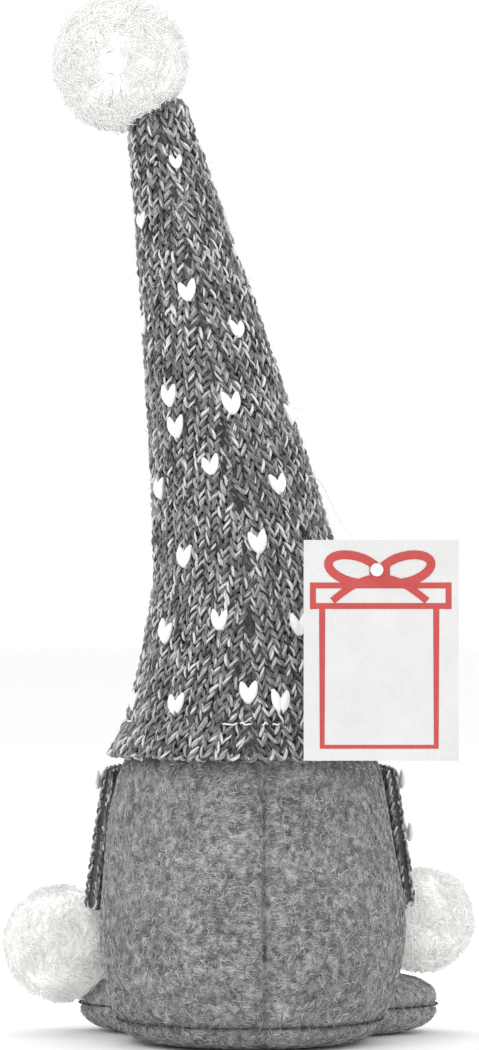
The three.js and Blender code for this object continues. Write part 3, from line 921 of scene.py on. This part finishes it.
def make_flap(name, side):
    """A knitted flap: stitches on both faces of a soft curved tongue."""
    hinge, along, out, up = flap_frame(side)
    body = "right_flap" if side > 0 else "left_flap"

    def laid(x, down, rise):
        curve = rise - x**2 / FLAP_CURVE
        return hinge + x[..., None] * along + curve[..., None] * out - down[..., None] * up

    def half_width(down):
        share = np.clip(down / FLAP_LENGTH, 0, 1)
        end = np.sqrt(np.maximum(0.05, 1 - np.maximum(0, (share - 0.86) / 0.14) ** 2 * 0.9))
        return (FLAP_TOP + (FLAP_END - FLAP_TOP) * share) * end

    across, high, lift = leg_shape(7)
    lines = []
    for face in (-1, 1):
        for row in range(0, 17):
            down0 = row * COURSE * 0.93
            reach = float(half_width(np.array(down0 + 2)))
            count = max(2, int(round(2 * reach / (WALE * 0.95))))
            for column in range(count):
                x0 = (column + 0.5) / count * 2 * reach - reach
                rim = 1 - 0.5 * abs(x0 / reach) ** 4
                for hand in (-1, 1):
                    x = x0 + hand * across * WALE * 0.95 + rng.normal(0, 0.12)
                    down = np.clip(down0 + 4.2 - high * COURSE * 0.93, -0.6, 53.4)
                    thin = 1 - 0.35 * np.exp(-np.maximum(0, down) / 5)
                    rise = face * (FLAP_HALF * rim + lift * 0.6) * thin
                    lines.append(laid(x, down, rise))
    paths = np.array(lines)
    facing = np.broadcast_to(out, paths.shape)
    plies = twisted(paths, facing, 0.5, PLY_GAP)
    radii = np.full(plies.shape[:2], PLY)
    tone = marled(len(paths)) + 0.04
    node_name = "right_ear_flap" if side > 0 else "left_ear_flap"
    facing = np.concatenate([facing, facing])
    tubes(name, plies, radii, facing, tone, KNIT, body, 4, replaces=[node_name])
    mesh = slab(name + "_middle", 20, 26)
    flat = coordinates(mesh)
    down = 1.2 + (0.5 - flat[:, 1]) * 50.5
    x = flat[:, 0] * 2 * (half_width(down) - 1.3)
    set_coordinates(mesh, laid(x, down, (flat[:, 2] - 0.5) * 3.6) * MM)
    # Painted shade: a near-black sheet between the flap's two faces, seen in the gaps between its stitches.
    middle = shown(name + "_middle", mesh, KNIT_GAP_SHADE, body)
    make_flap_hearts(name, side, laid, half_width, body)


# Face


def body_at(z):
    """The body's radius at a height above the seat."""
    profile = np.array(body_profile())
    keep = profile[:, 1] > 8
    return np.interp(z, profile[keep, 1], profile[keep, 0])


def make_beard():
    """Long pile that hangs from under the brim to the feet, round the nose and over its backing."""
    count = 2600
    row = rng.random(count)
    root = 97 - 64 * row**0.9
    wide = 0.56 * np.sqrt(np.maximum(0.05, 1 - (np.maximum(0, 62 - root) / 36) ** 2))
    turn = rng.uniform(-1, 1, count) * wide
    length = rng.uniform(20, 34, count)
    steps = np.linspace(0, 1, 7)[None]
    sway = rng.normal(0, 0.05, count)[:, None] + 0.02 * np.sin(root * 0.7)[:, None]
    ends = 17.5 + rng.uniform(0, 4, count)[:, None]
    z = np.maximum(root[:, None] - 0.4 - length[:, None] * steps, ends)
    angle = turn[:, None] * (1 - 0.12 * steps) + sway * steps**1.5
    depth = 2.2 + 4.8 * np.sin(np.clip(steps * 1.7, 0, math.pi / 2)) * rng.uniform(0.5, 1.0, count)[:, None]
    r = body_at(z) + depth
    paths = np.stack([r * np.sin(angle), r * np.cos(angle), z], -1)
    near = np.linalg.norm(paths - np.array(NOSE_POINT), axis=-1).min(1)
    paths = paths[near > NOSE_ROOM]
    n = len(paths)
    facing = unit(paths * LEVEL)
    radii = rng.uniform(0.35, 0.55, n)[:, None] * np.array([[0.8, 1, 1.05, 1, 0.9, 0.7, 0.35]])
    tone = rng.normal(0.6, 0.16, n)
    nodes = ["beard_fur", "beard_backing"]
    tubes("beard_hair", paths, radii, facing, tone, FUR, "gnome", 4, replaces=nodes)
    mesh = slab("beard_pad", 24, 36)
    flat = coordinates(mesh)
    up = flat[:, 1] + 0.5
    z = 19 + 77.5 * up
    wide = 0.53 * np.sqrt(np.maximum(0.03, 1 - (1 - np.minimum(1, up / 0.7)) ** 2))
    angle = flat[:, 0] * 2 * wide
    thick = 0.5 + flat[:, 2] * 4.2 * (1 - 0.8 * np.abs(2 * flat[:, 0]) ** 3)
    r = body_at(z) + thick
    set_coordinates(mesh, np.stack([r * np.sin(angle), r * np.cos(angle), z], 1) * MM)
    pad = shown("beard_pad", mesh, CLOTH, "gnome")


def make_nose():
    """A round felt nose, which is held at its back, against the body, while it swells."""
    form = ball_mesh("nose_form", (0, 54.2, 86.4), (11, 10.4, 11), 18)
    mesh = stuffed(form, lambda c: c[:, 1] < 47, cell=2.5, most=0.5)
    nose = shown("gnome_nose", mesh, NOSE, "gnome", ["nose"])


# Tag


def stroke(bm, points, width, plane):
    """A flat printed line of even width through the points."""
    points = np.array(points, float)
    along = unit(np.gradient(points, axis=0))
    side = np.stack([-along[:, 1], along[:, 0]], 1) * width / 2
    left, right = points + side, points - side
    made = []
    for y in (plane, plane - PRINT_THICK):
        ring = [bm.verts.new((p[0] * MM, y * MM, p[1] * MM)) for p in [*left, *right[::-1]]]
        made.append(ring)
    n = len(points)
    for i in range(n - 1):
        a, b = made[1], made[0]
        j = 2 * n - 1 - i
        bm.faces.new((a[i], a[i + 1], a[j - 1], a[j]))
        bm.faces.new((b[j], b[j - 1], b[i + 1], b[i]))
    for i in range(2 * n):
        j = (i + 1) % (2 * n)
        bm.faces.new((made[1][i], made[0][i], made[0][j], made[1][j]))


def make_print():
    """A plain gift box outline with a lid and a looped bow."""
    bm = bmesh.new()
    layers = itertools.count()

    def line(points, width):
        stroke(bm, [photo(*p) for p in points], width, PRINT_FACE - PRINT_STEP * next(layers))

    for corners, width_mm in BOX_LINES:
        line(corners, width_mm)
    for hand in (-1, 1):
        a = np.linspace(0.15, math.tau - 0.15, 24)
        x = BOW_X + hand * 25 * (1 - np.cos(a))
        y = BOW_Y - 13 * np.sin(a) - 5 * (1 - np.cos(a))
        line(list(zip(x, y)), 3.0)
        tail = np.linspace(0, 1, 8)
        line(list(zip(BOW_X + hand * (6 + 40 * tail), BOW_Y + 4 + 22 * tail**1.6)), 2.4)
    line([(BOW_X - 10, BOW_Y), (BOW_X + 10, BOW_Y)], 4.8)
    bmesh.ops.recalc_face_normals(bm, faces=bm.faces)
    shown("tag_print", finished(bm, "tag_print"), PRINT, "tag")


def finish_cad_pieces():
    """Gives the tag's card and pin, which stay as the CAD has them, their looks."""
    nylon, _, shader = new_material("clear_nylon", Roughness=0.3, Base_Color=(0.96, 0.96, 0.96, 1))
    shader.inputs["Transmission Weight"].default_value = 0.2
    for name, mat, slot in (("tag_card", PAPER, "card"), ("tag_pin", nylon, "nylon")):
        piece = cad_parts[name]
        piece.data.materials.clear()
        piece.data.materials.append(mat)


# Light, floor and camera


def make_stage():
    """A plain pale floor."""
    bm = bmesh.new()
    bmesh.ops.create_grid(bm, x_segments=2, y_segments=2, size=6)
    mesh = finished(bm, "floor")
    mat, _, shader = new_material("pale_floor", Roughness=0.9, Base_Color=(0.97, 0.97, 0.97, 1))
    shader.inputs["Specular IOR Level"].default_value = 0.1
    floor = bpy.data.objects.new("floor", mesh)
    mesh.materials.append(mat)
    scene.collection.objects.link(floor)


def make_light(name, place_m, size, power):
    """A soft square light that looks at the gnome's middle."""
    light = bpy.data.lights.new(name, "AREA")
    light.size = size
    light.energy = power
    obj = bpy.data.objects.new(name, light)
    obj.location = place_m
    aim = np.array([0, 0, LIGHT_AIM]) - np.array(place_m)
    obj.rotation_euler = mathutils.Vector(aim).to_track_quat("-Z", "Y").to_euler()
    scene.collection.objects.link(obj)


def make_camera():
    """The camera at the photo's angle, and a white surround."""
    camera = bpy.data.objects.new("camera", bpy.data.cameras.new("camera"))
    camera.location = (-0.0036, -CAMERA_AWAY, 0.178)
    camera.rotation_euler = (math.pi / 2, 0, 0)
    camera.data.sensor_width = SENSOR
    camera.data.lens = SENSOR * CAMERA_AWAY / VIEW_HEIGHT
    scene.collection.objects.link(camera)
    scene.camera = camera
    world = bpy.data.worlds.new("studio")
    world.use_nodes = True
    back = world.node_tree.nodes["Background"]
    back.inputs["Color"].default_value = (1, 1, 1, 1)
    back.inputs["Strength"].default_value = 1.0
    scene.world = world
    scene.view_settings.view_transform = "Standard"


make_body()
make_seat_seam()
make_foot("left_foot", -1, 45)
make_foot("right_foot", 1, 53)
for knit_piece in make_hat_knit():
    bend_with_hat(knit_piece)
bend_with_hat(make_hat_shell())
make_hem_thread()
make_hearts()
bend_with_hat(make_fuzz("hat_fuzz", 2500, on_hat, 2.6, 0.05, None))
make_fuzz("body_fuzz", 2500, on_body, 1.6, 0.04, "gnome")
top_nodes = ["hat_pompom", "hat_pompom_tie"]
make_pompom("top_yarn", TOP_POMPOM, TOP_RADIUS, TOP_STRANDS, "top_pompom", top_nodes)
for flap_side, pompom_name, size_mm, press_mm, drop_mm in FLAPS:
    make_flap(f"{pompom_name}_flap_knit", flap_side)
    origin, _, outward_way, up_way = flap_frame(flap_side)
    away_mm = POMPOM_SEAT + size_mm - press_mm
    middle_mm = origin + outward_way * away_mm - up_way * (FLAP_LENGTH + drop_mm)
    replaced = [f"{pompom_name}_pompom", f"{pompom_name}_pompom_tie"]
    flap_pompom = f"{pompom_name}_flap_pompom"
    make_pompom(f"{pompom_name}_yarn", middle_mm, size_mm, FLAP_STRANDS, flap_pompom, replaced)
make_beard()
make_nose()
make_print()
finish_cad_pieces()
make_stage()
make_light("key", (-0.9, -1.2, 1.3), 1.2, 6)
make_light("fill", (1.1, -1.0, 0.7), 1.2, 2)
make_light("top", (0, 0.3, 1.6), 1.0, 5)
make_camera()
